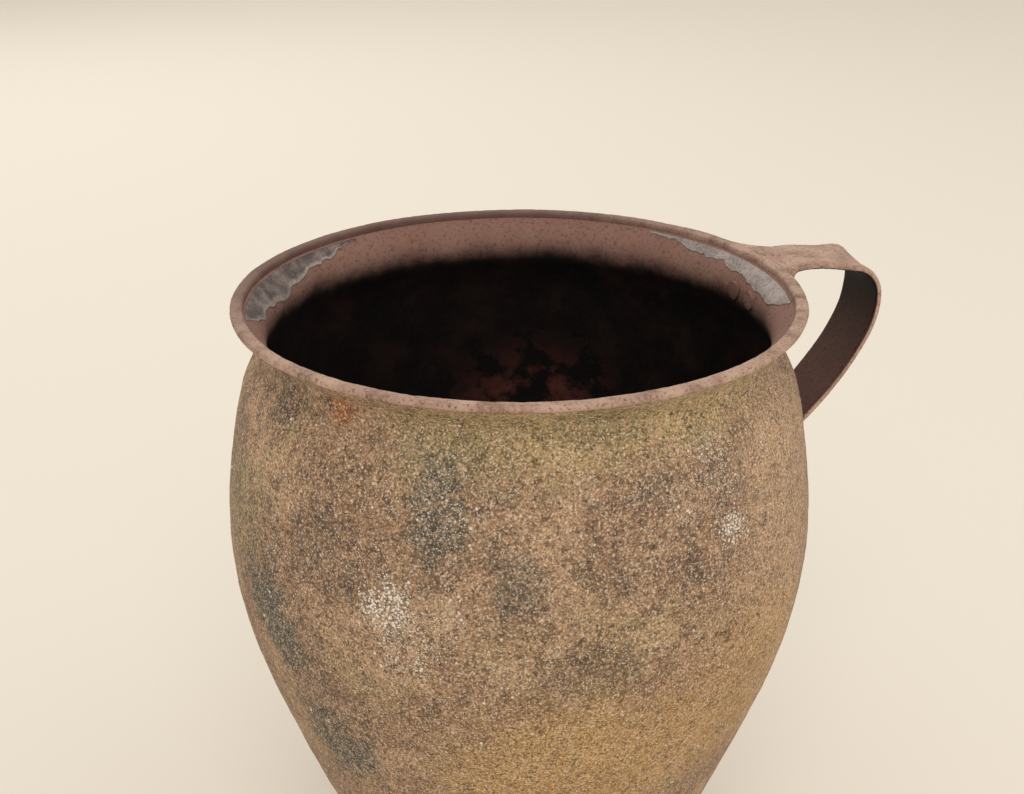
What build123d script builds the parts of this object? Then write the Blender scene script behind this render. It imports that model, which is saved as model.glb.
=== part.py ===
"""A pot-bellied copper mug with a flared mouth, a flat rim band and a riveted strap handle.

Frame: millimetres, +Z up, origin at the centre of the underside, handle along +X.
A "drop" is a depth measured down from the top of the rim band.
"""

import math
import os

from build123d import *

# ---- overall sizes ----
mug_height = 127.0
mouth_radius = 52.0  # outer edge of the rim band
wall = 1.3  # sheet of the body

# ---- rim band ----
band_width = 2.4
band_height = 1.3
band_round = 0.5  # all corners but the one that meets the flare
band_overhang = 0.5  # how far the band stands out past the wall's top edge

# ---- side of the body, outer surface ----
flare_lean = 48.0  # degrees that the flare leans outwards under the band
neck_radius = 47.2
neck_drop = 7.4
throat_radius = 49.2
throat_drop = 11.8
shoulder_radius = 53.0
shoulder_drop = 23.4
belly_radius = 55.3
belly_drop = 44.0
haunch_radius = 47.4
haunch_drop = 80.8
foot_radius = 26.0  # where the flat underside ends and the heel bend begins
heel_bend = 6.0
foot_lean = 21.0  # degrees that the wall leans outwards above the heel

# ---- base ----
flange_radius = foot_radius - 5.0  # inner edge of the wall's turned-in flange
disc_thickness = 1.2
disc_gap = 0.25  # brazed gap round the disc
braze_leg = 2.2

# ---- handle strap ----
strap_width = 12.6
strap_thickness = 1.25
strap_edge_round = 0.35
bed_depth = 0.45  # how far the strap is dressed down onto the round wall
tab_end_drop = neck_drop + 3.2
hump_radius = mouth_radius + 4.6  # the strap is highest here, just outside the lip
hump_drop = 0.35
crook_start_radius = mouth_radius + 15.4
crook_start_drop = 2.0
crook_bend = 6.6
top_fall = 9.0  # degrees that the top of the strap falls towards the crook
leg_turn_gap = 15.0  # how far the leg stands off the belly where it has turned
leg_turn_drop = 17.7
leg_end_gap = 3.4
leg_end_drop = 31.9
leg_lean = 47.0  # degrees from vertical at the lower end of the leg
foot_top_drop = 37.8
foot_end_drop = belly_drop + 4.0

# ---- rivets ----
rivet_radius = 1.4
rivet_head_radius = 2.3
rivet_head_height = 1.0
rivet_head_round = 0.8
tail_radius = 1.8  # the end peened down on the inside
tail_height = 0.3
rivet_spread = 3.2  # half the distance between the two rivets of a pair
upper_rivet_drop = neck_drop - 0.6
lower_rivet_drop = foot_end_drop - 4.6

# ---- braze at the handle's root ----
front_gusset = (1.4, 1.8)  # reach along the rim and along the strap
back_gusset = (9.2, 9.6)
gusset_bite = 0.3  # how far the gusset's tip runs in over the strap's edge
root_braze_drop = 0.3
root_braze_depth = 1.5

# ---- tin lining left on the inside of the flare ----
tin_thickness = 0.3
tin_top_gap = 0.3  # bare strip between the rim band and the tin
# name: start and sweep in degrees from the handle, drop of the lower edge
tin_patches = {
    "tin_lining_left": (113.0, 60.0, 6.4),
    "tin_lining_right": (-23.0, 59.0, 5.0),
}

os.makedirs("parts", exist_ok=True)


def at(radius, drop):
    """A point of the side view, from its radius and its drop."""
    return (radius, mug_height - drop)


def heading(degrees):
    """A direction of the side view: 0 is outwards, -90 is down."""
    return (math.cos(math.radians(degrees)), math.sin(math.radians(degrees)))


def moved(point, degrees, distance):
    """The point moved by a distance along a heading."""
    step = heading(degrees)
    return (point[0] + distance * step[0], point[1] + distance * step[1])


def flare_line(inset):
    """The flare from under the rim band down to the neck, moved inwards by inset."""
    lip_radius = mouth_radius - band_overhang - inset / math.cos(math.radians(flare_lean))
    return Spline(
        at(lip_radius, band_height),
        at(neck_radius - inset, neck_drop),
        tangents=[heading(-90 - flare_lean), heading(-90)],
    )


def shoulder_line(inset):
    """The shoulder from the neck down to the widest part of the belly, moved inwards by inset."""
    return Spline(
        at(neck_radius - inset, neck_drop),
        moved(at(throat_radius, throat_drop), -150, inset),
        moved(at(shoulder_radius, shoulder_drop), -170, inset),
        at(belly_radius - inset, belly_drop),
        tangents=[heading(-90), heading(-90)],
    )


def belly_line(inset):
    """The lower wall from the widest part of the belly down to the heel bend, moved inwards by inset."""
    return Spline(
        at(belly_radius - inset, belly_drop),
        moved(at(haunch_radius, haunch_drop), 160, inset),
        moved((foot_radius, heel_bend), -foot_lean, heel_bend - inset),
        tangents=[heading(-90), heading(-90 - foot_lean)],
    )


def heel_line(inset):
    """The round bend from the flat underside up to the lower wall, moved inwards by inset."""
    return CenterArc((foot_radius, heel_bend), heel_bend - inset, -90, 90 - foot_lean)


def seat(line, drop, out):
    """A point standing out from a line of the wall at a drop, and the wall's heading there."""
    low = 0.0
    high = 1.0
    for _ in range(40):
        middle = (low + high) / 2
        if (line @ middle).Y > mug_height - drop:
            low = middle
        else:
            high = middle
    tangent = line % low
    point = line @ low + Vector(-tangent.Y, tangent.X, 0) * out
    return (point.X, point.Y), (tangent.X, tangent.Y)


def rivet_plane(drop, across):
    """A plane inside the wall, facing outwards, at a distance beside the middle of the handle."""
    out = Vector(math.sqrt(neck_radius**2 - across**2), across, 0).normalized()
    origin = out * (neck_radius - 4 * wall) + Vector(0, 0, mug_height - drop)
    return Plane(origin=origin, x_dir=(0, 0, 1), z_dir=out)


def on_rim(across):
    """The point of the rim's outer edge, seen from above, at a distance beside the handle's middle."""
    return (math.sqrt(mouth_radius**2 - across**2), across)


# One pair of rivets goes through the neck and one through the belly.
rivet_planes = {
    "upper_rivet_front": rivet_plane(upper_rivet_drop, -rivet_spread),
    "upper_rivet_back": rivet_plane(upper_rivet_drop, rivet_spread),
    "lower_rivet_front": rivet_plane(lower_rivet_drop, -rivet_spread),
    "lower_rivet_back": rivet_plane(lower_rivet_drop, rivet_spread),
}
# How much further out than the neck the wall is where each pair goes through.
rivet_wall_step = {"upper": 0.0, "lower": belly_radius - neck_radius}

# ---- outer form: the filled-in outside of the body, which the handle is dressed down onto ----
with BuildPart() as outer_form:
    with BuildSketch(Plane.XZ):
        with BuildLine():
            flare = flare_line(0)
            shoulder = shoulder_line(0)
            belly = belly_line(0)
            heel_line(0)
            Polyline((foot_radius, 0), (0, 0), at(0, band_height), flare @ 0)
        make_face()
    revolve(axis=Axis.Z)

# ---- rim band: a flat ring brazed on the wall's top edge ----
with BuildPart() as rim_band:
    with BuildSketch(Plane.XZ):
        with Locations(at(mouth_radius - band_width / 2, band_height / 2)):
            Rectangle(band_width, band_height)
        inner_low = vertices().sort_by(Axis.Y)[:2].sort_by(Axis.X)[:1]
        fillet(vertices() - inner_low, band_round)
    revolve(axis=Axis.Z)
rim_band.part.label = "rim_band"

# ---- body wall: one raised sheet, from the flare to a flange turned in under the base disc ----
with BuildPart() as body_wall:
    with BuildSketch(Plane.XZ):
        with BuildLine():
            outer_flare = flare_line(0)
            shoulder_line(0)
            belly_line(0)
            heel_line(0)
            Polyline((foot_radius, 0), (flange_radius, 0), (flange_radius, wall), (foot_radius, wall))
            heel_line(wall)
            belly_line(wall)
            shoulder_line(wall)
            inner_flare = flare_line(wall)
            Line(inner_flare @ 0, outer_flare @ 0)
        make_face()
    revolve(axis=Axis.Z)
    for plane in rivet_planes.values():
        with BuildSketch(plane):
            Circle(rivet_radius)
        extrude(amount=belly_radius - neck_radius + 5 * wall, mode=Mode.SUBTRACT)
body_wall.part.label = "body_wall"

# ---- base disc: lies on the flange, inside the heel ----
disc_radius = foot_radius - disc_gap
disc_top = wall + disc_thickness
with BuildPart() as base_disc:
    with BuildSketch(Plane.XY.offset(wall)):
        Circle(disc_radius)
    extrude(amount=disc_thickness)
base_disc.part.label = "base_disc"

# ---- base braze: fills the gap round the disc and runs up the inside of the heel ----
with BuildPart() as base_braze:
    with BuildSketch(Plane.XZ):
        with BuildLine():
            inner_heel = heel_line(wall)
            Polyline((foot_radius, wall), (disc_radius, wall), (disc_radius, disc_top))
            Polyline((disc_radius, disc_top), (disc_radius - braze_leg, disc_top), inner_heel @ 1)
        make_face()
    revolve(axis=Axis.Z)
base_braze.part.label = "base_braze"

# ---- handle strap: tab on the neck, level top, crook, sloping leg and foot on the belly ----
strap_out = strap_thickness / 2 - bed_depth
tab_end, tab_heading = seat(shoulder, tab_end_drop, strap_out)
neck_point = at(neck_radius + strap_out, neck_drop)
lip_point = at(mouth_radius + 0.8, band_height + strap_thickness / 2 + 0.4)
hump = at(hump_radius, hump_drop)
crook_start = at(crook_start_radius, crook_start_drop)
leg_turn = at(belly_radius + leg_turn_gap, leg_turn_drop)
leg_end = at(belly_radius + leg_end_gap, leg_end_drop)
tab_plane = Plane(
    origin=(tab_end[0], 0, tab_end[1]),
    x_dir=(0, 1, 0),
    z_dir=(-tab_heading[0], 0, -tab_heading[1]),
)
foot_top, foot_top_heading = seat(shoulder, foot_top_drop, strap_out)
foot_end, foot_end_heading = seat(belly, foot_end_drop, strap_out)
foot_waist = at(belly_radius + strap_out, belly_drop)
with BuildPart() as handle_strap:
    with BuildLine(Plane.XZ):
        Spline(
            tab_end,
            neck_point,
            lip_point,
            hump,
            tangents=[(-tab_heading[0], -tab_heading[1]), heading(0)],
        )
        Spline(hump, crook_start, tangents=[heading(0), heading(-top_fall)])
        crook = JernArc(crook_start, heading(-top_fall), radius=crook_bend, arc_size=top_fall - 90)
        Spline(crook @ 1, leg_turn, leg_end, tangents=[heading(-90), heading(-90 - leg_lean)])
        Spline(leg_end, foot_top, tangents=[heading(-90 - leg_lean), foot_top_heading])
        Spline(foot_top, foot_waist, foot_end, tangents=[foot_top_heading, foot_end_heading])
    with BuildSketch(tab_plane):
        RectangleRounded(strap_width, strap_thickness, strap_edge_round)
    sweep()
    add(outer_form.part, mode=Mode.SUBTRACT)
    add(rim_band.part, mode=Mode.SUBTRACT)
    for name, plane in rivet_planes.items():
        with BuildSketch(plane):
            Circle(rivet_radius)
        extrude(amount=rivet_wall_step[name[:5]] + 8 * wall, mode=Mode.SUBTRACT)
handle_strap.part.label = "handle_strap"

# ---- root braze: fills the groove between lip and strap, hollow gussets, the larger one at the back ----
half_width = strap_width / 2
with BuildPart() as root_braze:
    with BuildSketch(Plane.XY.offset(mug_height - root_braze_drop)):
        with BuildLine():
            back_rim = on_rim(half_width + back_gusset[0])
            back_tip = (mouth_radius + back_gusset[1], half_width - gusset_bite)
            front_tip = (mouth_radius + front_gusset[1], gusset_bite - half_width)
            front_rim = on_rim(-half_width - front_gusset[0])
            Spline(back_rim, back_tip, tangents=[(back_rim[1], -back_rim[0]), (1, -0.12)])
            Polyline(back_tip, (mouth_radius + front_gusset[1], 0), front_tip)
            Spline(front_tip, front_rim, tangents=[(-1, -0.12), (front_rim[1], -front_rim[0])])
            Polyline(front_rim, (mouth_radius - band_width / 2, 0), back_rim)
        make_face()
    extrude(amount=-root_braze_depth)
    add(outer_form.part, mode=Mode.SUBTRACT)
    add(rim_band.part, mode=Mode.SUBTRACT)
    add(handle_strap.part, mode=Mode.SUBTRACT)
    add(root_braze.part.solids().sort_by(SortBy.VOLUME)[-1], mode=Mode.REPLACE)
root_braze.part.label = "root_braze"

for node in (body_wall, rim_band, base_disc, base_braze, handle_strap, root_braze):
    export_step(node.part, f"parts/{node.part.label}.step")
    print(node.part.label, len(node.part.solids()), [round(s.volume, 1) for s in node.part.solids()])

# ---- rivets: a domed head on the strap, a shank filling its hole and a peened tail ----
for name, plane in rivet_planes.items():
    outside = 4 * wall + rivet_wall_step[name[:5]]
    middle = plane.offset(outside - wall / 2)
    with BuildPart() as rivet:
        with BuildSketch(middle):
            Circle(rivet_head_radius)
        extrude(amount=wall / 2 + strap_thickness - bed_depth + rivet_head_height)
        fillet(rivet.edges().sort_by(Axis(plane.origin, plane.z_dir))[-1], rivet_head_round)
        with BuildSketch(middle):
            Circle(tail_radius)
        extrude(amount=-wall / 2 - tail_height)
        add(body_wall.part, mode=Mode.SUBTRACT)
        add(handle_strap.part, mode=Mode.SUBTRACT)
        add(rivet.part.solids().sort_by(SortBy.VOLUME)[-1], mode=Mode.REPLACE)
    rivet.part.label = name
    export_step(rivet.part, f"parts/{name}.step")
    print(name, [round(s.volume, 2) for s in rivet.part.solids()])

# ---- tin lining: thin patches left on the inside of the flare ----
for name, (start, sweep_angle, end_drop) in tin_patches.items():
    with BuildPart() as tin:
        with BuildSketch(Plane.XZ.rotated((0, 0, start))):
            with BuildLine():
                on_wall = flare_line(wall)
                on_top = flare_line(wall + tin_thickness)
                Line(on_wall @ 0, on_top @ 0)
                Line(on_wall @ 1, on_top @ 1)
            make_face()
            top_limit = at(0, band_height + tin_top_gap)
            low_limit = at(2 * mouth_radius, end_drop)
            with Locations((mouth_radius, (top_limit[1] + low_limit[1]) / 2)):
                Rectangle(2 * mouth_radius, top_limit[1] - low_limit[1], mode=Mode.INTERSECT)
        revolve(axis=Axis.Z, revolution_arc=sweep_angle)
    tin.part.label = name
    export_step(tin.part, f"parts/{name}.step")
    print(name, [round(s.volume, 2) for s in tin.part.solids()], tin.part.bounding_box())
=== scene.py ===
import math

import bmesh
import bpy
from mathutils import Euler, Matrix, Vector, noise
from mathutils.bvhtree import BVHTree


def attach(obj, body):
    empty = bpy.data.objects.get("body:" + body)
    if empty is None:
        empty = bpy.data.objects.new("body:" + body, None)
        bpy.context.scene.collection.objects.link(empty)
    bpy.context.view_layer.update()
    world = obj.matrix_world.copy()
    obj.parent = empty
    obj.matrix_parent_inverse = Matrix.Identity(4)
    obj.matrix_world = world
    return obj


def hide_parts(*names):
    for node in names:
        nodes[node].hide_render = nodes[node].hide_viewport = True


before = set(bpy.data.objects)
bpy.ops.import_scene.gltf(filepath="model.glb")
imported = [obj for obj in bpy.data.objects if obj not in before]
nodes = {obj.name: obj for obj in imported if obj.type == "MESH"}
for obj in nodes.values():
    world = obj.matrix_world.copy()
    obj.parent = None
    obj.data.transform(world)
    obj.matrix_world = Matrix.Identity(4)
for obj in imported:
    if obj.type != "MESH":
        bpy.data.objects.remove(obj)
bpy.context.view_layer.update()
mm = 0.001
mugHeight = 127.0  # top of the rim band above the table, mm
print("frame loaded")


def linearColour(code):
    # sRGB hex to the linear colour that the shaders take
    parts = [int(code[i:i + 2], 16) / 255 for i in (1, 3, 5)]
    return tuple(c / 12.92 if c <= 0.04045 else ((c + 0.055) / 1.055) ** 2.4 for c in parts) + (1.0,)


def addNode(tree, kind, links=None, **settings):
    # one node with its settings, and its inputs as values or as sockets to link from
    made = tree.nodes.new(kind)
    for name, value in settings.items():
        setattr(made, name, value)
    for name, value in (links or {}).items():
        if isinstance(value, bpy.types.NodeSocket):
            tree.links.new(value, made.inputs[name])
        else:
            made.inputs[name].default_value = value
    return made


def wobble(point, size, seed=0.0):
    # smooth noise from -1 to 1 with bumps of about this size in mm
    return noise.noise(Vector(point) / size + Vector((seed, seed * 1.7, seed * 0.6)))


def around(radius, azimuth, drop):
    # a point in mm from its radius, its angle from the handle and its depth under the rim
    a = math.radians(azimuth)
    return Vector((radius * math.cos(a), radius * math.sin(a), mugHeight - drop))


def meshPiece(name, points, faces, material, standsFor=()):
    # a smooth-shaded piece from points in mm, riding on the mug
    data = bpy.data.meshes.new(name)
    data.from_pydata([Vector(p) * mm for p in points], [], faces)
    data.update()
    return dressPiece(name, data, material, standsFor)


def dressPiece(name, data, material, standsFor=()):
    data.materials.clear()
    data.materials.append(material)
    for face in data.polygons:
        face.use_smooth = True
    piece = bpy.data.objects.new(name, data)
    bpy.context.scene.collection.objects.link(piece)
    if standsFor:
        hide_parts(*standsFor)
    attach(piece, "root")
    return piece


# The eye stands a quarter of a metre off and a little above the rim.
view = {
    "distance": 264.5, "azimuth": -19.7, "rise": 19.60, "tiltDown": 23.83, "roll": -0.20, "aside": 0.30,
    "lens": 50.98,
}
eyeTurn = math.radians(view["azimuth"] - view["aside"])
eyeRise = math.radians(view["rise"])
cameraData = bpy.data.cameras.new("viewCamera")
cameraData.lens = view["lens"]
cameraData.sensor_width = 36
cameraData.clip_start = 0.01
camera = bpy.data.objects.new("viewCamera", cameraData)
bpy.context.scene.collection.objects.link(camera)
camera.location = Vector((
    view["distance"] * math.cos(eyeRise) * math.sin(eyeTurn),
    -view["distance"] * math.cos(eyeRise) * math.cos(eyeTurn),
    mugHeight + view["distance"] * math.sin(eyeRise),
)) * mm
turned = Euler((math.radians(90 - view["tiltDown"]), 0, math.radians(view["azimuth"]))).to_matrix()
camera.rotation_euler = (turned @ Matrix.Rotation(math.radians(view["roll"]), 3, "Z")).to_euler()
bpy.context.scene.camera = camera
print("camera set")


def startMaterial(name):
    made = bpy.data.materials.new(name)
    made.use_nodes = True
    tree = made.node_tree
    tree.nodes.clear()
    where = addNode(tree, "ShaderNodeTexCoord").outputs["Object"]
    inMm = addNode(tree, "ShaderNodeMapping", {
        "Vector": where, "Scale": (1000, 1000, 1000),
    }).outputs["Vector"]
    return made, tree, inMm


def finishMaterial(tree, colour, roughness, height, depth, metallic=0.0, specular=0.5):
    # the shader itself, with relief from a height in the range 0 to 1
    relief = addNode(tree, "ShaderNodeBump", {"Height": height, "Distance": depth * mm, "Strength": 1.0})
    shader = addNode(tree, "ShaderNodeBsdfPrincipled", {
        "Base Color": colour,
        "Roughness": roughness,
        "Metallic": metallic,
        "Specular IOR Level": specular,
        "Normal": relief.outputs["Normal"],
    })
    addNode(tree, "ShaderNodeOutputMaterial", {"Surface": shader.outputs["BSDF"]})


# where a stain starts to show and where it is full, as shares of its size
stainEdge = {"outer": 1.35, "core": 0.5}


def stainMask(tree, inMm, stain, ragged):
    # 1 inside a stain and 0 outside, with a ragged edge; tall below 1 stretches it along the height
    centre = around(stain["radius"], stain["azimuth"], stain["drop"])
    squash = (1.0, 1.0, stain.get("tall", 1.0))
    offset = addNode(tree, "ShaderNodeVectorMath", {
        0: inMm, 1: tuple(centre),
    }, operation="SUBTRACT").outputs[0]
    shaped = addNode(tree, "ShaderNodeVectorMath", {0: offset, 1: squash}, operation="MULTIPLY").outputs[0]
    reach = addNode(tree, "ShaderNodeVectorMath", {0: shaped}, operation="LENGTH").outputs["Value"]
    torn = addNode(tree, "ShaderNodeMath", {
        0: ragged, 1: stain["size"] * stain.get("ragged", 1.2), 2: reach,
    }, operation="MULTIPLY_ADD").outputs[0]
    return addNode(tree, "ShaderNodeMapRange", {
        "Value": torn,
        "From Min": stain["size"] * stainEdge["outer"],
        "From Max": stain["size"] * stainEdge["core"],
        "To Min": 0.0,
        "To Max": stain["strength"],
    }, interpolation_type="SMOOTHSTEP").outputs[0]


# Raised copper sheet, long buried or left out: oxide and carbonate crust over the metal,
# so the eye sees a dull, gritty brown with green, ochre and lime-white bloom and little metal.
patina = {
    "brown": "#937257", "tan": "#bd9a78", "dark": "#5f4b3a", "umber": "#45352a", "grain": "#d9b98f",
    "ochre": "#b39b6b", "gold": "#c2995c", "olive": "#827650", "verdigris": "#434b45",
    "lime": "#ece2d4", "rust": "#a8642f", "soot": "#3a302a",
    "broadSize": 16.0, "blotchSize": 5.0, "mottleSize": 1.9,
    "gritSize": 0.62, "dustSize": 0.36, "speckSize": 0.52,
    "roughness": (0.62, 0.92), "gritDepth": 0.16,
}
stains = [
    {
        "colour": "ochre", "azimuth": -104, "drop": 6.5, "radius": 48, "size": 24, "tall": 3.0,
        "strength": 0.75,
    },
    {
        "colour": "ochre", "azimuth": -72, "drop": 6.0, "radius": 48, "size": 17, "tall": 2.4,
        "strength": 0.75,
    },
    {
        "colour": "olive", "azimuth": -124, "drop": 9.0, "radius": 49, "size": 10, "tall": 1.4,
        "strength": 0.6,
    },
    {"colour": "olive", "azimuth": -95, "drop": 5.0, "radius": 48, "size": 9, "tall": 1.8, "strength": 0.6},
    {"colour": "olive", "azimuth": -176, "drop": 32, "radius": 54, "size": 11, "strength": 0.65},
    {"colour": "verdigris", "azimuth": -163, "drop": 45, "radius": 55, "size": 7, "strength": 0.85},
    {"colour": "verdigris", "azimuth": -157, "drop": 52, "radius": 55, "size": 6.5, "strength": 0.85},
    {"colour": "verdigris", "azimuth": -148, "drop": 71, "radius": 53, "size": 9, "strength": 0.9},
    {
        "colour": "verdigris", "azimuth": -124, "drop": 19, "radius": 52, "size": 5, "tall": 0.5,
        "strength": 0.6,
    },
    {
        "colour": "verdigris", "azimuth": -110, "drop": 30, "radius": 54, "size": 4.5, "tall": 0.7,
        "strength": 0.6,
    },
    {"colour": "dark", "azimuth": -98, "drop": 47, "radius": 55, "size": 10, "tall": 1.5, "strength": 0.7},
    {"colour": "dark", "azimuth": -150, "drop": 62, "radius": 54, "size": 10, "strength": 0.6},
    {"colour": "dark", "azimuth": -163, "drop": 8, "radius": 48, "size": 6, "strength": 0.7},
    {"colour": "tan", "azimuth": -50, "drop": 29, "radius": 54, "size": 15, "tall": 0.6, "strength": 0.65},
    {"colour": "gold", "azimuth": -98, "drop": 70, "radius": 53, "size": 24, "tall": 1.3, "strength": 0.75},
    {"colour": "gold", "azimuth": -62, "drop": 62, "radius": 54, "size": 20, "strength": 0.6},
    {"colour": "rust", "azimuth": -147, "drop": 7.0, "radius": 48, "size": 3.0, "strength": 0.85},
    {"colour": "soot", "azimuth": -151, "drop": 6.5, "radius": 48, "size": 1.4, "strength": 0.9},
]
limeStains = [
    {"azimuth": -133, "drop": 36, "radius": 55, "size": 6.0, "strength": 1.0},
    {"azimuth": -129, "drop": 43, "radius": 55, "size": 7.5, "strength": 0.7},
    {"azimuth": -122, "drop": 37, "radius": 55, "size": 4.5, "strength": 0.6},
    {"azimuth": -72, "drop": 15, "radius": 52, "size": 7, "tall": 0.7, "strength": 0.6},
    {"azimuth": -79, "drop": 20, "radius": 52, "size": 6, "strength": 0.5},
    {"azimuth": -69, "drop": 26.6, "radius": 54, "size": 3.6, "strength": 0.95},
    {"azimuth": -124, "drop": 17, "radius": 52, "size": 6, "tall": 0.6, "strength": 0.5},
    {"azimuth": -120, "drop": 21, "radius": 52, "size": 4.5, "strength": 0.55},
    {"azimuth": -135, "drop": 19, "radius": 52, "size": 5, "strength": 0.4},
    {"azimuth": -113, "drop": 50, "radius": 55, "size": 5, "tall": 0.7, "strength": 0.4},
    {"azimuth": -80, "drop": 2.6, "radius": 50, "size": 10, "tall": 5.0, "strength": 0.6},
    {"azimuth": 40, "drop": 52, "radius": 55, "size": 8, "strength": 0.8},
    {"azimuth": 110, "drop": 28, "radius": 54, "size": 7, "strength": 0.7},
]


def raisedCopperPatina():
    made, tree, inMm = startMaterial("raisedCopperPatina")
    colour = {name: linearColour(code) for name, code in patina.items() if isinstance(code, str)}
    broad = addNode(tree, "ShaderNodeTexNoise", {
        "Vector": inMm, "Scale": 1 / patina["broadSize"], "Detail": 5.0, "Roughness": 0.6,
    })
    blotch = addNode(tree, "ShaderNodeTexNoise", {
        "Vector": inMm, "Scale": 1 / patina["blotchSize"], "Detail": 6.0, "Roughness": 0.65,
    })
    grit = addNode(tree, "ShaderNodeTexNoise", {
        "Vector": inMm, "Scale": 1 / patina["gritSize"], "Detail": 3.0, "Roughness": 0.7,
    })
    specks = addNode(tree, "ShaderNodeTexVoronoi", {
        "Vector": inMm, "Scale": 1 / patina["speckSize"],
    }, feature="F1")
    mottle = addNode(tree, "ShaderNodeTexNoise", {
        "Vector": inMm, "Scale": 1 / patina["mottleSize"], "Detail": 4.0, "Roughness": 0.7,
    })
    dust = addNode(tree, "ShaderNodeTexNoise", {
        "Vector": inMm, "Scale": 1 / patina["dustSize"], "Detail": 2.0, "Roughness": 0.7,
    })
    # edges of the stains follow the blotches and are frayed by the mottling
    frayed = addNode(tree, "ShaderNodeMath", {
        0: mottle.outputs[0], 1: 0.8, 2: blotch.outputs[0],
    }, operation="MULTIPLY_ADD").outputs[0]
    ragged = addNode(tree, "ShaderNodeMath", {0: frayed, 1: 0.9}, operation="SUBTRACT").outputs[0]

    tanAmount = addNode(tree, "ShaderNodeMapRange", {
        "Value": broad.outputs[0], "From Min": 0.46, "From Max": 0.62, "To Max": 0.9,
    })
    base = addNode(tree, "ShaderNodeMix", {
        0: tanAmount.outputs[0], 6: colour["brown"], 7: colour["tan"],
    }, data_type="RGBA").outputs[2]
    darkAmount = addNode(tree, "ShaderNodeMapRange", {
        "Value": blotch.outputs[0], "From Min": 0.51, "From Max": 0.33, "To Max": 0.9,
    })
    base = addNode(tree, "ShaderNodeMix", {
        0: darkAmount.outputs[0], 6: base, 7: colour["dark"],
    }, data_type="RGBA").outputs[2]
    # the same stains turn up faintly all round, wherever the broad patches meet the blotches
    other = addNode(tree, "ShaderNodeTexNoise", {
        "Vector": inMm, "Scale": 1 / 21.0, "Detail": 4.0, "Distortion": 0.6,
    })
    ochreAmount = addNode(tree, "ShaderNodeMapRange", {
        "Value": other.outputs[0], "From Min": 0.54, "From Max": 0.70, "To Max": 0.45,
    })
    base = addNode(tree, "ShaderNodeMix", {
        0: ochreAmount.outputs[0], 6: base, 7: colour["ochre"],
    }, data_type="RGBA").outputs[2]
    greenAmount = addNode(tree, "ShaderNodeMapRange", {
        "Value": other.outputs[0], "From Min": 0.38, "From Max": 0.27, "To Max": 0.5,
    })
    base = addNode(tree, "ShaderNodeMix", {
        0: greenAmount.outputs[0], 6: base, 7: colour["verdigris"],
    }, data_type="RGBA").outputs[2]
    for stain in stains:
        base = addNode(tree, "ShaderNodeMix", {
            0: stainMask(tree, inMm, stain, ragged), 6: base, 7: colour[stain["colour"]],
        }, data_type="RGBA").outputs[2]

    # mottling about a millimetre across, lighter and darker than the stain under it
    paleMottle = addNode(tree, "ShaderNodeMapRange", {
        "Value": mottle.outputs[0], "From Min": 0.52, "From Max": 0.62, "To Max": 0.45,
    }).outputs[0]
    base = addNode(tree, "ShaderNodeMix", {
        0: paleMottle, 6: base, 7: colour["tan"],
    }, data_type="RGBA").outputs[2]
    darkMottle = addNode(tree, "ShaderNodeMapRange", {
        "Value": mottle.outputs[0], "From Min": 0.47, "From Max": 0.36, "To Max": 0.55,
    }).outputs[0]
    base = addNode(tree, "ShaderNodeMix", {
        0: darkMottle, 6: base, 7: colour["umber"],
    }, data_type="RGBA").outputs[2]

    # grit: light grains and dark pits, with finer dust between them
    lightGrains = addNode(tree, "ShaderNodeMapRange", {
        "Value": grit.outputs[0], "From Min": 0.54, "From Max": 0.68, "To Max": 0.6,
    })
    base = addNode(tree, "ShaderNodeMix", {
        0: lightGrains.outputs[0], 6: base, 7: colour["grain"],
    }, data_type="RGBA").outputs[2]
    darkPits = addNode(tree, "ShaderNodeMapRange", {
        "Value": grit.outputs[0], "From Min": 0.47, "From Max": 0.34, "To Max": 0.8,
    })
    base = addNode(tree, "ShaderNodeMix", {
        0: darkPits.outputs[0], 6: base, 7: colour["umber"],
    }, data_type="RGBA").outputs[2]
    darkDust = addNode(tree, "ShaderNodeMapRange", {
        "Value": dust.outputs[0], "From Min": 0.49, "From Max": 0.36, "To Max": 0.55,
    }).outputs[0]
    base = addNode(tree, "ShaderNodeMix", {
        0: darkDust, 6: base, 7: colour["umber"],
    }, data_type="RGBA").outputs[2]
    paleDust = addNode(tree, "ShaderNodeMapRange", {
        "Value": dust.outputs[0], "From Min": 0.56, "From Max": 0.66, "To Max": 0.6,
    }).outputs[0]
    base = addNode(tree, "ShaderNodeMix", {
        0: paleDust, 6: base, 7: colour["lime"],
    }, data_type="RGBA").outputs[2]

    # lime bloom: only on the tops of the grains, so it breaks up into dots
    lime = None
    for stain in limeStains:
        mask = stainMask(tree, inMm, stain, ragged)
        lime = mask if lime is None else addNode(tree, "ShaderNodeMath", {
            0: lime, 1: mask,
        }, operation="MAXIMUM").outputs[0]
    bare = addNode(tree, "ShaderNodeMapRange", {
        "Value": broad.outputs[0], "From Min": 0.35, "From Max": 0.75, "To Min": 0.0, "To Max": 0.22,
    })
    lime = addNode(tree, "ShaderNodeMath", {0: lime, 1: bare.outputs[0]}, operation="MAXIMUM").outputs[0]
    dotEdge = addNode(tree, "ShaderNodeMath", {0: lime, 1: 0.58}, operation="MULTIPLY").outputs[0]
    unevenDot = addNode(tree, "ShaderNodeMath", {
        0: dust.outputs[0], 1: 0.9, 2: specks.outputs["Distance"],
    }, operation="MULTIPLY_ADD").outputs[0]
    dots = addNode(tree, "ShaderNodeMath", {0: dotEdge, 1: unevenDot}, operation="SUBTRACT").outputs[0]
    dotMask = addNode(tree, "ShaderNodeMapRange", {
        "Value": dots, "From Min": -0.37, "From Max": -0.29, "To Max": 0.9,
    }).outputs[0]
    base = addNode(tree, "ShaderNodeMix", {
        0: dotMask, 6: base, 7: colour["lime"],
    }, data_type="RGBA").outputs[2]

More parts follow.
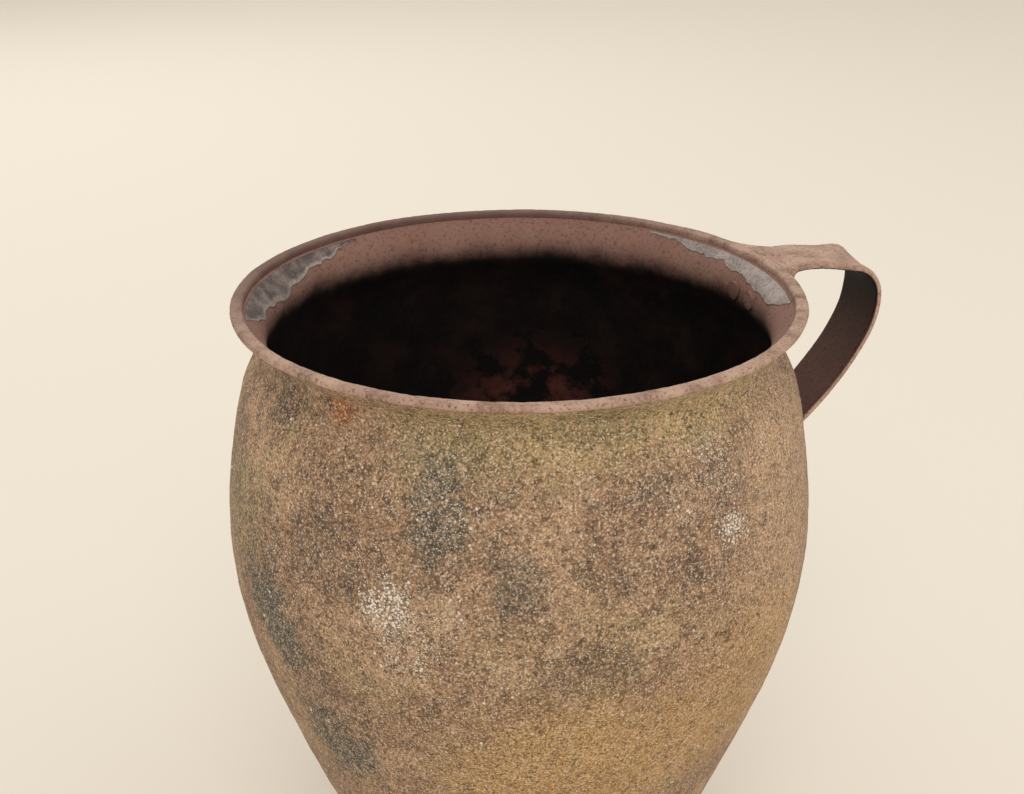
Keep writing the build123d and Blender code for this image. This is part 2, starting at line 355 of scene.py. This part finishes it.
    rough = addNode(tree, "ShaderNodeMapRange", {
        "Value": blotch.outputs[0], "From Min": 0.3, "From Max": 0.7, "To Min": patina["roughness"][0],
        "To Max": patina["roughness"][1],
    })
    height = addNode(tree, "ShaderNodeMath", {
        0: grit.outputs[0], 1: 0.8, 2: dotMask,
    }, operation="MULTIPLY_ADD").outputs[0]
    finishMaterial(tree, base, rough.outputs[0], height, patina["gritDepth"], specular=0.3)
    return made


# The inside: the same raised copper under a black-brown oxide, reddish where it thins near the lip; below
# the neck the black is partly painted shade under the neck's overhang, and a red patch in the belly is
# painted light.
inside = {
    # the rust tone is red oxide, laid on in the belly as painted light where the light pools
    "black": "#0d0807", "deep": "#2a1915", "red": "#7c5649", "flare": "#96766a", "rust": "#8a4a3e",
    "gritSize": 0.7, "depth": 0.14,
}


def sootedCopperPaintedLightAndShade():
    made, tree, inMm = startMaterial("sootedCopperPaintedLightAndShade")
    colour = {name: linearColour(code) for name, code in inside.items() if isinstance(code, str)}
    blotch = addNode(tree, "ShaderNodeTexNoise", {
        "Vector": inMm, "Scale": 1 / 9.0, "Detail": 6.0, "Roughness": 0.65,
    })
    grit = addNode(tree, "ShaderNodeTexNoise", {
        "Vector": inMm, "Scale": 1 / inside["gritSize"], "Detail": 3.0, "Roughness": 0.7,
    })
    raggedInside = addNode(tree, "ShaderNodeMath", {
        0: blotch.outputs[0], 1: 0.5,
    }, operation="SUBTRACT").outputs[0]
    deepAmount = addNode(tree, "ShaderNodeMapRange", {
        "Value": blotch.outputs[0], "From Min": 0.45, "From Max": 0.65, "To Max": 0.8,
    })
    base = addNode(tree, "ShaderNodeMix", {
        0: deepAmount.outputs[0], 6: colour["black"], 7: colour["deep"],
    }, data_type="RGBA").outputs[2]
    heightUp = addNode(tree, "ShaderNodeSeparateXYZ", {"Vector": inMm}).outputs["Z"]
    torn = addNode(tree, "ShaderNodeMath", {
        0: blotch.outputs[0], 1: 5.0, 2: heightUp,
    }, operation="MULTIPLY_ADD").outputs[0]
    # painted shade: below the neck the inside stays black, partly as the shade under the neck's overhang;
    # above the neck the flare keeps its reddish tone
    flareAboveNeckShade = addNode(tree, "ShaderNodeMapRange", {
        "Value": torn, "From Min": mugHeight - 10.0 + 2.5, "From Max": mugHeight - 5.0 + 2.5,
    }, interpolation_type="SMOOTHSTEP")
    flareTone = addNode(tree, "ShaderNodeMix", {
        0: blotch.outputs[0], 6: colour["red"], 7: colour["flare"],
    }, data_type="RGBA").outputs[2]
    base = addNode(tree, "ShaderNodeMix", {
        0: flareAboveNeckShade.outputs[0], 6: base, 7: flareTone,
    }, data_type="RGBA").outputs[2]
    # painted light: a pool of light low on the back of the belly, painted in the mottled red oxide found
    # there
    redOxideAndPaintedLight = stainMask(tree, inMm, {
        "azimuth": 66, "drop": 52, "radius": 52, "size": 20, "ragged": 2.6, "strength": 0.75,
    }, raggedInside)
    flecks = addNode(tree, "ShaderNodeMapRange", {
        "Value": blotch.outputs[0], "From Min": 0.44, "From Max": 0.60, "To Max": 0.8,
    }).outputs[0]
    redOxideAndPaintedLight = addNode(tree, "ShaderNodeMath", {0: redOxideAndPaintedLight, 1: flecks}, operation="MULTIPLY").outputs[0]
    base = addNode(tree, "ShaderNodeMix", {
        0: redOxideAndPaintedLight, 6: base, 7: colour["rust"],
    }, data_type="RGBA").outputs[2]
    pits = addNode(tree, "ShaderNodeMapRange", {
        "Value": grit.outputs[0], "From Min": 0.48, "From Max": 0.30, "To Max": 0.6,
    })
    base = addNode(tree, "ShaderNodeMix", {
        0: pits.outputs[0], 6: base, 7: colour["deep"],
    }, data_type="RGBA").outputs[2]
    finishMaterial(tree, base, 0.75, grit.outputs[0], inside["depth"], specular=0.25)
    return made


# Handled copper: rim and strap, rubbed by hands, so a thinner pinkish-brown oxide with some metal behind it;
# the strap's hollow side is black oxide with painted shade over it, darkest at the top.
handled = {
    "pink": "#a98a79", "light": "#c3a592", "brown": "#7d6152", "dark": "#3c2d28", "black": "#140c0b",
    "under": "#5d3f35", "back": "#7d6056", "backDark": "#543c36", "gritSize": 0.5, "depth": 0.09,
}


def handledCopper(name, hasInner):
    made, tree, inMm = startMaterial(name)
    colour = {key: linearColour(code) for key, code in handled.items() if isinstance(code, str)}
    blotch = addNode(tree, "ShaderNodeTexNoise", {
        "Vector": inMm, "Scale": 1 / 5.5, "Detail": 5.0, "Roughness": 0.6,
    })
    grit = addNode(tree, "ShaderNodeTexNoise", {
        "Vector": inMm, "Scale": 1 / handled["gritSize"], "Detail": 3.0, "Roughness": 0.65,
    })
    lightAmount = addNode(tree, "ShaderNodeMapRange", {
        "Value": blotch.outputs[0], "From Min": 0.45, "From Max": 0.62, "To Max": 0.8,
    })
    base = addNode(tree, "ShaderNodeMix", {
        0: lightAmount.outputs[0], 6: colour["pink"], 7: colour["light"],
    }, data_type="RGBA").outputs[2]
    brownAmount = addNode(tree, "ShaderNodeMapRange", {
        "Value": blotch.outputs[0], "From Min": 0.46, "From Max": 0.33, "To Max": 0.7,
    })
    base = addNode(tree, "ShaderNodeMix", {
        0: brownAmount.outputs[0], 6: base, 7: colour["brown"],
    }, data_type="RGBA").outputs[2]
    pits = addNode(tree, "ShaderNodeMapRange", {
        "Value": grit.outputs[0], "From Min": 0.47, "From Max": 0.30, "To Max": 0.75,
    })
    base = addNode(tree, "ShaderNodeMix", {
        0: pits.outputs[0], 6: base, 7: colour["dark"],
    }, data_type="RGBA").outputs[2]
    grains = addNode(tree, "ShaderNodeMapRange", {
        "Value": grit.outputs[0], "From Min": 0.56, "From Max": 0.72, "To Max": 0.5,
    })
    base = addNode(tree, "ShaderNodeMix", {
        0: grains.outputs[0], 6: base, 7: colour["light"],
    }, data_type="RGBA").outputs[2]
    if not hasInner:
        # round the back the rim was never rubbed, and keeps the dark red oxide of the flare
        backFacing = addNode(tree, "ShaderNodeVectorMath", {
            0: inMm, 1: (-0.26, 0.97, 0.0),
        }, operation="DOT_PRODUCT").outputs["Value"]
        unrubbed = addNode(tree, "ShaderNodeMapRange", {
            "Value": backFacing, "From Min": -2.0, "From Max": 38.0, "To Max": 0.95,
        }).outputs[0]
        flareTone = addNode(tree, "ShaderNodeMix", {
            0: blotch.outputs[0], 6: colour["backDark"], 7: colour["back"],
        }, data_type="RGBA").outputs[2]
        base = addNode(tree, "ShaderNodeMix", {
            0: unrubbed, 6: base, 7: flareTone,
        }, data_type="RGBA").outputs[2]
    if hasInner:
        # the hollow side of the strap keeps black oxide under painted shade, darkest at the top and browner
        # lower down
        hollowOxideAndShade = addNode(tree, "ShaderNodeAttribute", attribute_name="hollowSideOxideAndShade").outputs["Fac"]
        heightUp = addNode(tree, "ShaderNodeSeparateXYZ", {"Vector": inMm}).outputs["Z"]
        lower = addNode(tree, "ShaderNodeMapRange", {
            "Value": heightUp, "From Min": mugHeight - 6.0, "From Max": mugHeight - 26.0,
        })
        hollowOxideAndShadeTone = addNode(tree, "ShaderNodeMix", {
            0: lower.outputs[0], 6: colour["black"], 7: colour["under"],
        }, data_type="RGBA").outputs[2]
        hollowOxideAndShadeTone = addNode(tree, "ShaderNodeMix", {
            0: pits.outputs[0], 6: hollowOxideAndShadeTone, 7: colour["black"],
        }, data_type="RGBA").outputs[2]
        base = addNode(tree, "ShaderNodeMix", {
            0: hollowOxideAndShade, 6: base, 7: hollowOxideAndShadeTone,
        }, data_type="RGBA").outputs[2]
    finishMaterial(tree, base, 0.66, grit.outputs[0], handled["depth"], metallic=0.08, specular=0.25)
    return made


# Hand-wiped tin, worn back to patches: grey, duller than new tin, with whitish corrosion at the torn edge.
tinLook = {"grey": "#554b49", "pale": "#8d7e78", "white": "#cabfb7", "dark": "#3a3230"}


def wipedTin():
    made, tree, inMm = startMaterial("wipedTin")
    colour = {key: linearColour(code) for key, code in tinLook.items()}
    blotch = addNode(tree, "ShaderNodeTexNoise", {
        "Vector": inMm, "Scale": 1 / 4.0, "Detail": 5.0, "Roughness": 0.6,
    })
    grit = addNode(tree, "ShaderNodeTexNoise", {"Vector": inMm, "Scale": 1 / 0.6, "Detail": 3.0})
    edge = addNode(tree, "ShaderNodeAttribute", attribute_name="tornEdge").outputs["Fac"]
    paleAmount = addNode(tree, "ShaderNodeMapRange", {
        "Value": blotch.outputs[0], "From Min": 0.42, "From Max": 0.64,
    })
    base = addNode(tree, "ShaderNodeMix", {
        0: paleAmount.outputs[0], 6: colour["grey"], 7: colour["pale"],
    }, data_type="RGBA").outputs[2]
    pits = addNode(tree, "ShaderNodeMapRange", {
        "Value": grit.outputs[0], "From Min": 0.45, "From Max": 0.30, "To Max": 0.7,
    })
    base = addNode(tree, "ShaderNodeMix", {
        0: pits.outputs[0], 6: base, 7: colour["dark"],
    }, data_type="RGBA").outputs[2]
    crust = addNode(tree, "ShaderNodeMath", {0: grit.outputs[0], 1: 1.5}, operation="MULTIPLY").outputs[0]
    white = addNode(tree, "ShaderNodeMath", {
        0: edge, 1: crust,
    }, operation="MULTIPLY", use_clamp=True).outputs[0]
    base = addNode(tree, "ShaderNodeMix", {
        0: white, 6: base, 7: colour["white"],
    }, data_type="RGBA").outputs[2]
    finishMaterial(tree, base, 0.55, grit.outputs[0], 0.08, metallic=0.35, specular=0.5)
    return made


def brazeMetal():
    # brass run into a joint with a torch: smooth, yellowish, tarnished brown
    made, tree, inMm = startMaterial("tarnishedBraze")
    blotch = addNode(tree, "ShaderNodeTexNoise", {"Vector": inMm, "Scale": 1 / 3.0, "Detail": 4.0})
    base = addNode(tree, "ShaderNodeMix", {
        0: blotch.outputs[0], 6: linearColour("#5a4636"), 7: linearColour("#8f7657"),
    }, data_type="RGBA").outputs[2]
    finishMaterial(tree, base, 0.6, blotch.outputs[0], 0.1, metallic=0.3, specular=0.4)
    return made


bodySkin = raisedCopperPatina()
insideSkin = sootedCopperPaintedLightAndShade()
rimSkin = handledCopper("handledCopperRim", False)
strapSkin = handledCopper("handledCopperStrap", True)
tinSkin = wipedTin()
brazeSkin = brazeMetal()
print("surfaces made")


# The wall is turned from the outline of the model's own wall, then dented and crusted over.
wall = {
    "segments": 480, "outerStep": 0.86, "innerStep": 3.2, "flareStep": 0.9,
    "footRadius": 26.0, "heelBend": 6.0, "footLean": 21.0, "flangeRadius": 21.1, "sheet": 1.3,
    "dent": 0.22, "dentSize": 17.0, "lump": 0.12, "lumpSize": 5.0, "crust": 0.07, "crustSize": 1.9,
    "sunk": 0.25,
}
wallTree = BVHTree.FromPolygons(
    [v.co.copy() for v in nodes["body_wall"].data.vertices],
    [tuple(p.vertices) for p in nodes["body_wall"].data.polygons],
)


def wallRadius(height, fromInside):
    # radius of the wall in mm, measured where there is neither handle nor rivet
    a = math.radians(137.0)
    out = Vector((math.cos(a), math.sin(a), 0))
    start = Vector((0, 0, height * mm)) if fromInside else out * 0.08 + Vector((0, 0, height * mm))
    hit = wallTree.ray_cast(start, out if fromInside else -out)[0]
    return None if hit is None else math.hypot(hit.x, hit.y) / mm


def smoothRadius(height, fromInside, spread=1.2):
    found = [wallRadius(height + k * spread / 2, fromInside) for k in (-2, -1, 0, 1, 2)]
    found = [r for r in found if r]
    return sum(found) / len(found)


def buildWall():
    foot, bend, lean = wall["footRadius"], wall["heelBend"], wall["footLean"]
    heelTop, lipTop = bend * (1 - math.sin(math.radians(lean))), mugHeight - 1.35
    outer = []
    steps = int((lipTop - heelTop) / wall["outerStep"])
    for i in range(steps + 1):
        height = lipTop - (lipTop - heelTop) * i / steps
        near = 0.4 if i < 14 else 1.2
        outer.append((smoothRadius(height, False, near), height))
    for k in range(1, 7):  # heel bend
        turn = math.radians(-lean - (90 - lean) * k / 6)
        outer.append((foot + bend * math.cos(turn), bend + bend * math.sin(turn)))
    outer += [(wall["flangeRadius"], 0.0), (wall["flangeRadius"], wall["sheet"]), (24.0, wall["sheet"])]
    inner = []
    height = 3.0
    while height < lipTop:
        inner.append((smoothRadius(height, True, 0.4 if height > 110 else 1.0), height))
        height += wall["flareStep"] if height > 112 else wall["innerStep"]
    inner.append((smoothRadius(lipTop, True, 0.1), lipTop))
    rings = outer + [(foot + 0.2, wall["sheet"])] + inner
    points, faces = [], []
    count = wall["segments"]
    for index, (radius, height) in enumerate(rings):
        onOutside = index < steps + 1
        onInside = index > len(outer)
        for k in range(count):
            a = 2 * math.pi * k / count
            at = Vector((radius * math.cos(a), radius * math.sin(a), height))
            shift = 0.0
            if onOutside:
                fade = min(1.0, index / 5.0)
                shift = fade * (
                    -wall["sunk"]
                    + wall["dent"] * wobble(at, wall["dentSize"], 3.1)
                    + wall["lump"] * wobble(at, wall["lumpSize"], 8.4)
                    + wall["crust"] * wobble(at, wall["crustSize"], 5.7)
                )
            elif onInside:
                shift = 0.10 * wobble(at, 6.0, 2.2) + 0.05 * wobble(at, 2.4, 4.4)
            out = Vector((math.cos(a), math.sin(a), 0))
            points.append(at + out * shift)
    total = len(rings)
    for j in range(total):
        low, high = j * count, ((j + 1) % total) * count
        for k in range(count):
            n = (k + 1) % count
            faces.append((low + k, high + k, high + n, low + n))
    return points, faces, steps + 1, len(outer)


points, faces, outerRings, insideFrom = buildWall()
bodyWall = meshPiece("bodyWall", points, faces, bodySkin, ["body_wall"])
bodyWall.data.materials.append(insideSkin)
count = wall["segments"]
for face in bodyWall.data.polygons:
    if face.index // count >= insideFrom - 2:
        face.material_index = 1
print("body wall made", len(faces))


# Lime carried by hard water dries into crumbs that stand on the patina where drips have run.
crumbs = {
    "perSquareMetre": 9.0e5, "smallest": 0.12, "largest": 0.34, "flatness": 0.45, "seed": 7,
    "everywhere": 0.05,
}
crumbLook = {"pale": "#e2d8ca", "dull": "#b7a48f", "toneSize": 2.5}


def limeCrust():
    # dried lime: chalky and matt, stained by the copper under it
    made, tree, inMm = startMaterial("limeCrust")
    tone = addNode(tree, "ShaderNodeTexNoise", {
        "Vector": inMm, "Scale": 1 / crumbLook["toneSize"], "Detail": 3.0,
    }).outputs[0]
    spread = addNode(tree, "ShaderNodeMapRange", {
        "Value": tone, "From Min": 0.40, "From Max": 0.60,
    }).outputs[0]
    base = addNode(tree, "ShaderNodeMix", {
        0: spread, 6: linearColour(crumbLook["dull"]), 7: linearColour(crumbLook["pale"]),
    }, data_type="RGBA").outputs[2]
    finishMaterial(tree, base, 0.95, tone, 0.02, specular=0.2)
    return made


def crumbTree():
    # scatters small flattened grains over a mesh, as thickly as its limeCover says
    tree = bpy.data.node_groups.new("limeCrumbs", "GeometryNodeTree")
    sockets = (
        ("Geometry", "NodeSocketGeometry"), ("Crumbs per square metre", "NodeSocketFloat"),
        ("Smallest", "NodeSocketFloat"), ("Largest", "NodeSocketFloat"), ("Flatness", "NodeSocketFloat"),
        ("Seed", "NodeSocketInt"), ("Material", "NodeSocketMaterial"),
    )
    for name, kind in sockets:
        tree.interface.new_socket(name, in_out="INPUT", socket_type=kind)
    tree.interface.new_socket("Geometry", in_out="OUTPUT", socket_type="NodeSocketGeometry")
    given = addNode(tree, "NodeGroupInput").outputs
    cover = addNode(tree, "GeometryNodeInputNamedAttribute", {
        "Name": "limeCover"
    }, data_type="FLOAT").outputs["Attribute"]
    density = addNode(tree, "ShaderNodeMath", {
        0: cover, 1: given["Crumbs per square metre"],
    }, operation="MULTIPLY").outputs[0]
    spots = addNode(tree, "GeometryNodeDistributePointsOnFaces", {
        "Mesh": given["Geometry"], "Density": density, "Seed": given["Seed"],
    }).outputs
    grain = addNode(tree, "GeometryNodeMeshIcoSphere", {"Radius": 1.0, "Subdivisions": 1}).outputs["Mesh"]
    size = addNode(tree, "FunctionNodeRandomValue", {
        2: given["Smallest"], 3: given["Largest"], 8: given["Seed"],
    }, data_type="FLOAT").outputs[1]
    low = addNode(tree, "ShaderNodeMath", {0: size, 1: given["Flatness"]}, operation="MULTIPLY").outputs[0]
    shape = addNode(tree, "ShaderNodeCombineXYZ", {"X": size, "Y": size, "Z": low}).outputs[0]
    placed = addNode(tree, "GeometryNodeInstanceOnPoints", {
        "Points": spots["Points"], "Instance": grain, "Rotation": spots["Rotation"], "Scale": shape,
    }).outputs[0]
    plain = addNode(tree, "GeometryNodeRealizeInstances", {"Geometry": placed}).outputs[0]
    coated = addNode(tree, "GeometryNodeSetMaterial", {
        "Geometry": plain, "Material": given["Material"],
    }).outputs[0]
    addNode(tree, "NodeGroupOutput", {"Geometry": coated})
    return tree


def limeCover(at):
    # how thickly crumbs stand at a point of the outer wall, from 0 to 1
    most = 0.0
    for stain in limeStains:
        centre = around(stain["radius"], stain["azimuth"], stain["drop"])
        gap = at - centre
        gap.z *= stain.get("tall", 1.0)
        most = max(
            most,
            stain["strength"] * min(
                1.0, max(0.0, 1.5 - gap.length / stain["size"] + 0.9 * wobble(at, 3.0, 2.0)),
            ),
        )
    return max(most ** 2, crumbs["everywhere"] * max(0.0, 2.0 * wobble(at, 9.0, 6.0)))


helperData = bodyWall.data.copy()
keep = (outerRings - 3) * wall["segments"]
cover = helperData.attributes.new("limeCover", "FLOAT", "POINT")
for v in helperData.vertices:
    cover.data[v.index].value = limeCover(v.co / mm) if 4 * wall["segments"] < v.index < keep else 0.0
helper = bpy.data.objects.new("helper", helperData)
bpy.context.scene.collection.objects.link(helper)
scatter = helper.modifiers.new("limeCrumbs", "NODES")
scatter.node_group = crumbTree()
limeSkin = limeCrust()
values = {
    "Crumbs per square metre": crumbs["perSquareMetre"], "Smallest": crumbs["smallest"] * mm,
    "Largest": crumbs["largest"] * mm,
    "Flatness": crumbs["flatness"], "Seed": crumbs["seed"], "Material": limeSkin,
}
for item in scatter.node_group.interface.items_tree:
    if item.in_out == "INPUT" and item.name in values:
        scatter[item.identifier] = values[item.name]
bpy.context.view_layer.update()
crumbData = bpy.data.meshes.new_from_object(helper.evaluated_get(bpy.context.evaluated_depsgraph_get()))
bpy.data.objects.remove(helper)
crumbData.name = "limeCrumbs"
if "limeCover" in crumbData.attributes:
    crumbData.attributes.remove(crumbData.attributes["limeCover"])
dressPiece("limeCrumbs", crumbData, limeSkin)
print("lime crumbs made", len(crumbData.polygons))


# The rim band, uneven and nicked on its outer and upper sides.
rim = {
    "segments": 640, "outerRadius": 52.0, "flushCorner": 0.06, "width": 2.4, "height": 1.3, "corner": 0.55,
    "uneven": 0.12, "nick": 0.10,
}


def buildRim():
    count, ring = rim["segments"], []
    # three corners are rounded over and the fourth, inner and low, is dressed flush with the flare
    for cx, cz, start in ((1, 1, 0), (-1, 1, 90), (-1, -1, 180), (1, -1, 270)):
        corner = rim["flushCorner"] if start == 180 else rim["corner"]
        for k in range(5):
            a = math.radians(start + 90 * k / 4)
            ring.append((
                cx * (rim["width"] / 2 - corner) + corner * math.cos(a),
                cz * (rim["height"] / 2 - corner) + corner * math.sin(a),
            ))
    middle = rim["outerRadius"] - rim["width"] / 2
    points, faces = [], []
    for k in range(count):
        a = 2 * math.pi * k / count
        out = Vector((math.cos(a), math.sin(a), 0))
        for x, z in ring:
            at = out * (middle + x) + Vector((0, 0, mugHeight - rim["height"] / 2 + z))
            inward = rim["uneven"] * (
                wobble(at, 9.0, 1.3) - 0.6
            ) if x > 0 else rim["uneven"] * wobble(at, 7.0, 6.3)
            down = rim["uneven"] * (wobble(at, 11.0, 2.9) - 0.6) if z > 0 else 0.0
            rough = rim["nick"] * wobble(at, 1.3, 9.1)
            points.append(
                at + out * (
                    inward + rough * (0.5 if x > 0 else -0.5)
                ) + Vector((0, 0, down + min(0, rough)))
            )
    size = len(ring)
    for k in range(count):
        a, b = k * size, ((k + 1) % count) * size
        for i in range(size):
            n = (i + 1) % size
            faces.append((a + i, b + i, b + n, a + n))
    return points, faces


points, faces = buildRim()
meshPiece("rimBand", points, faces, rimSkin, ["rim_band"])
print("rim band made")


# The strap and the braze at its root keep the model's own form, with an even skin and eased edges.
strap = {
    "voxel": 0.24, "smooth": 2, "wave": 0.16, "waveSize": 7.0, "grain": 0.05, "grainSize": 1.4,
    "loopCentre": (62.5, 113.0), "corner": (70.5, 124.0), "cornerReach": 5.0, "cornerPush": 1.4,
    "farthest": 73.5, "highest": 127.2,
}


def softened(node, voxel, smooth):
    # a copy of a model piece as an even skin, with its sharp edges eased
    data = nodes[node].data.copy()
    work = bmesh.new()
    work.from_mesh(data)
    bmesh.ops.remove_doubles(work, verts=work.verts, dist=1e-6)
    work.to_mesh(data)
    work.free()
    helper = bpy.data.objects.new("helper", data)
    bpy.context.scene.collection.objects.link(helper)
    remesh = helper.modifiers.new("evenSkin", "REMESH")
    remesh.mode = "VOXEL"
    remesh.voxel_size = voxel * mm
    ease = helper.modifiers.new("ease", "SMOOTH")
    ease.factor = 0.5
    ease.iterations = smooth
    bpy.context.view_layer.update()
    made = bpy.data.meshes.new_from_object(helper.evaluated_get(bpy.context.evaluated_depsgraph_get()))
    bpy.data.objects.remove(helper)
    return made


strapData = softened("handle_strap", strap["voxel"], strap["smooth"])
# the hollow side faces the middle of the loop and takes black oxide with painted shade over it
hollowOxideAndShade = strapData.attributes.new("hollowSideOxideAndShade", "FLOAT", "POINT")
normals = [v.normal.copy() for v in strapData.vertices]
centre = Vector((strap["loopCentre"][0], 0, strap["loopCentre"][1]))
for v, normal in zip(strapData.vertices, normals):
    at = v.co / mm
    toCentre = Vector((centre.x - at.x, 0, centre.z - at.z)).normalized()
    facing = normal.x * toCentre.x + normal.z * toCentre.z
    hollowOxideAndShade.data[v.index].value = min(1.0, max(0.0, (facing - 0.15) * 3.0)) if at.x > 53 else 0.0
    across = Vector((at.x, at.y * 0.6, at.z))
    move = strap["wave"] * wobble(
        across, strap["waveSize"], 7.7,
    ) + strap["grain"] * wobble(at, strap["grainSize"], 1.9)
    # the back edge was knocked out into a squarer corner than the front edge
    gap = math.hypot(at.x - strap["corner"][0], at.z - strap["corner"][1]) / strap["cornerReach"]
    toBack = min(1.0, max(0.0, (at.y + 3.0) / 9.0))
    push = strap["cornerPush"] * toBack ** 1.5 * math.exp(-gap * gap) if at.x > 60 else 0.0
    v.co += Vector((0.55 * push, 0, 0.83 * push)) * mm
    v.co += Vector(
        (0, 0, 1)
    ) * move * mm * abs(normal.z) + Vector((normal.x, normal.y, 0)) * move * mm * 0.6
    v.co.x = min(v.co.x, strap["farthest"] * mm)
    v.co.z = min(v.co.z, strap["highest"] * mm)
dressPiece("handleStrap", strapData, strapSkin, ["handle_strap"])

brazeData = softened("root_braze", 0.16, 3)
dressPiece("rootBraze", brazeData, rimSkin, ["root_braze"])
print("handle made")


# each torn lower edge is given as angles from the handle with the drop there, up to the drop called "most"
tinPatches = {
    "tin_lining_left": {"start": 113.0, "sweep": 60.0, "top": 1.6, "most": 6.3, "tear": 0.9, "seed": 4.0,
                        "edge": [(113, 2.4), (
                            124, 3.2,
                        ), (133, 3.6), (143, 6.3), (152, 5.6), (162, 4.8), (173, 3.2)], "chalky": 0.0},
    "tin_lining_right": {"start": -23.0, "sweep": 59.0, "top": 1.6, "most": 4.9, "tear": 0.6, "seed": 9.0,
                         "edge": [(
                             -23, 4.4,
                         ), (-14, 4.8), (-4, 4.2), (8, 3.5), (20, 3.0), (36, 2.5)], "chalky": 0.45},
}


def edgeDrop(edge, turn):
    # drop of the torn edge at an angle, straight between the given points
    for (fromTurn, fromDrop), (toTurn, toDrop) in zip(edge, edge[1:]):
        if turn <= toTurn:
            return fromDrop + (toDrop - fromDrop) * (turn - fromTurn) / (toTurn - fromTurn)
    return edge[-1][1]


for node, patch in tinPatches.items():
    points, faces, torn = [], [], []
    across, down = int(patch["sweep"] * 3), 10
    for k in range(across + 1):
        turn = patch["start"] + patch["sweep"] * k / across
        taper = min(1.0, 6.0 * k / across, 6.0 * (1 - k / across)) ** 0.6
        at = around(48, turn, 4)
        lowEdge = edgeDrop(
            patch["edge"], turn,
        ) + patch["tear"] * (wobble(at, 5.0, patch["seed"]) * 1.6 + 0.6 * wobble(at, 1.6, patch["seed"]))
        lowEdge = patch["top"] + max(0.3, (min(lowEdge, patch["most"]) - patch["top"]) * taper)
        for i in range(down + 1):
            drop = patch["top"] + (lowEdge - patch["top"]) * i / down
            radius = wallRadius(mugHeight - drop, True)
            thick = 0.27 * min(
                1.0, 2.5 * (1 - i / down) + 0.35,
            ) * (0.85 + 0.3 * wobble(around(48, turn, drop), 2.0, 5.0))
            points.append(around(radius - max(0.06, thick) * 0.95, turn, drop))
            torn.append(max(patch["chalky"], (i / down - 0.6) / 0.4))
    front = len(points)
    for k in range(across + 1):
        turn = patch["start"] + patch["sweep"] * k / across
        for i in range(down + 1):
            drop = mugHeight - points[k * (down + 1) + i].z
            points.append(around(wallRadius(mugHeight - drop, True) + 0.15, turn, drop))
            torn.append(0.0)
    row = down + 1
    for k in range(across):
        for i in range(down):
            a, b = k * row + i, (k + 1) * row + i
            faces.append((a, b, b + 1, a + 1))
            faces.append((front + a, front + a + 1, front + b + 1, front + b))
        for i in (0, down):
            a, b = k * row + i, (k + 1) * row + i
            faces.append((a, front + a, front + b, b) if i == 0 else (b, front + b, front + a, a))
    for k in (0, across):
        for i in range(down):
            a = k * row + i
            faces.append(
                (a + 1, front + a + 1, front + a, a) if k == 0 else (a, front + a, front + a + 1, a + 1)
            )
    piece = meshPiece(
        "tinLiningLeft" if "left" in node else "tinLiningRight", points, faces, tinSkin, [node],
    )
    edge = piece.data.attributes.new("tornEdge", "FLOAT", "POINT")
    for index, value in enumerate(torn):
        edge.data[index].value = value
print("tin lining made")


# Pieces that stay as modelled and only take a surface.
carried = {
    "base_disc": insideSkin, "base_braze": brazeSkin,
    "upper_rivet_front": insideSkin, "upper_rivet_back": insideSkin,
    "lower_rivet_front": rimSkin, "lower_rivet_back": rimSkin,
}
for name, material in carried.items():
    nodes[name].data.materials.clear()
    nodes[name].data.materials.append(material)
print("rivets, base and braze dressed")


# A pale floor under soft light from the front, the side and behind; the lights are in watts.
studio = {
    "floor": "#efe8dc", "air": "#f3ece2", "airStrength": 0.84, "key": 3.2, "fill": 1.0, "rimLight": 2.0,
}
floorSkin, tree, inMm = startMaterial("paleFloor")
addNode(tree, "ShaderNodeOutputMaterial", {"Surface": addNode(tree, "ShaderNodeBsdfPrincipled", {
    "Base Color": linearColour(studio["floor"]), "Roughness": 0.8,
}).outputs["BSDF"]})
floorData = bpy.data.meshes.new("paleFloor")
reach = 3.0
floorData.from_pydata(
    [(-reach, -reach, 0), (reach, -reach, 0), (reach, reach, 0), (-reach, reach, 0)], [], [(0, 1, 2, 3)],
)
floorData.materials.append(floorSkin)
floor = bpy.data.objects.new("paleFloor", floorData)
bpy.context.scene.collection.objects.link(floor)

world = bpy.data.worlds.new("studioAir")
bpy.context.scene.world = world
world.use_nodes = True
world.node_tree.nodes["Background"].inputs["Color"].default_value = linearColour(studio["air"])
world.node_tree.nodes["Background"].inputs["Strength"].default_value = studio["airStrength"]


def softLight(name, place, size, power, aim=(0, 0, 0.08)):
    data = bpy.data.lights.new(name, "AREA")
    data.energy = power
    data.shape = "DISK"
    data.size = size
    light = bpy.data.objects.new(name, data)
    bpy.context.scene.collection.objects.link(light)
    light.location = place
    light.rotation_euler = (Vector(aim) - Vector(place)).to_track_quat("-Z", "Y").to_euler()


softLight("keyLight", (-0.25, -0.75, 0.85), 0.7, studio["key"])
softLight("fillLight", (0.9, -0.35, 0.45), 0.8, studio["fill"])
softLight("backLight", (-0.1, 0.9, 0.7), 0.8, studio["rimLight"])
bpy.context.scene.view_settings.view_transform = "Standard"
print("stage set")
